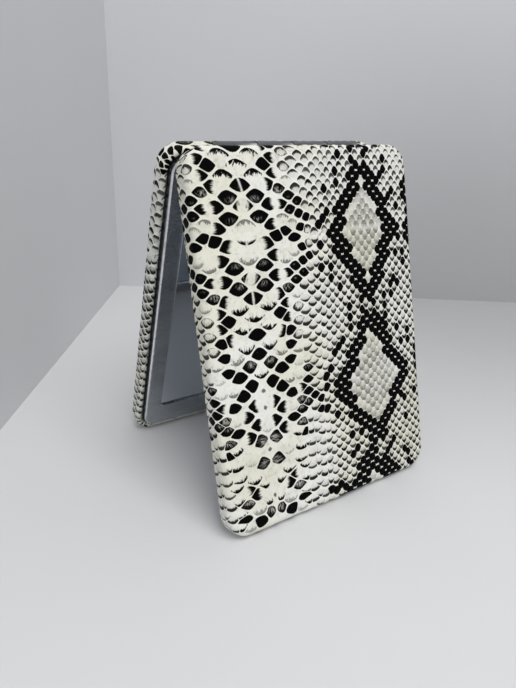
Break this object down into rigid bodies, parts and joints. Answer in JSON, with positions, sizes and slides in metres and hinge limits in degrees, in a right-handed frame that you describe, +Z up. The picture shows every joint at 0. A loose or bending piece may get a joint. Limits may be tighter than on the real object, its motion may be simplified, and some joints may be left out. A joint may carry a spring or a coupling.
{
  "type": "compact mirror",
  "caption": "Rectangular folding pocket mirror with padded snakeskin-print covers, plated bezel frames and a stiff pinned hinge, standing open as a tent.",
  "frame": {"origin": "on the floor under the middle of the hinge, where the tent's two free edges stand", "axes": "+Z up, +X along the hinge to the right of someone who faces the front cover, +Y from the front cover to the rear cover"},
  "size_m": [0.0622, 0.0592, 0.0829],
  "materials": {
    "printed_leather": "satin",
    "foam": "matte",
    "shell_steel": "satin",
    "board": "matte",
    "adhesive_sheet": "matte",
    "mirror_glass": "polished",
    "frame_metal": "satin",
    "hinge_steel": "satin",
    "rivet_steel": "satin",
    "magnet": "satin"
  },
  "bodies": {
    "front_half": {"front_leather_cover": "printed_leather", "front_foam_pad": "foam", "front_shell": "shell_steel", "front_backing_board": "board", "front_mirror_tape": "adhesive_sheet", "front_mirror": "mirror_glass", "front_frame": "frame_metal", "front_hinge_leaf": "hinge_steel", "front_leaf_rivets": "rivet_steel", "front_magnet_left": "magnet", "front_magnet_right": "magnet", "hinge_pin": "hinge_steel"},
    "rear_half": {"rear_leather_cover": "printed_leather", "rear_foam_pad": "foam", "rear_shell": "shell_steel", "rear_backing_board": "board", "rear_mirror_tape": "adhesive_sheet", "rear_mirror": "mirror_glass", "rear_frame": "frame_metal", "rear_hinge_leaf": "hinge_steel", "rear_leaf_rivets": "rivet_steel", "rear_magnet_left": "magnet", "rear_magnet_right": "magnet"}
  },
  "joints": [
    {"name": "cover_hinge", "type": "hinge", "parent": "front_half", "child": "rear_half", "pos_m": [0, 0, 0.08148], "axis": [1, 0, 0], "range_deg": [-32.2, 147.8]}
  ]
}
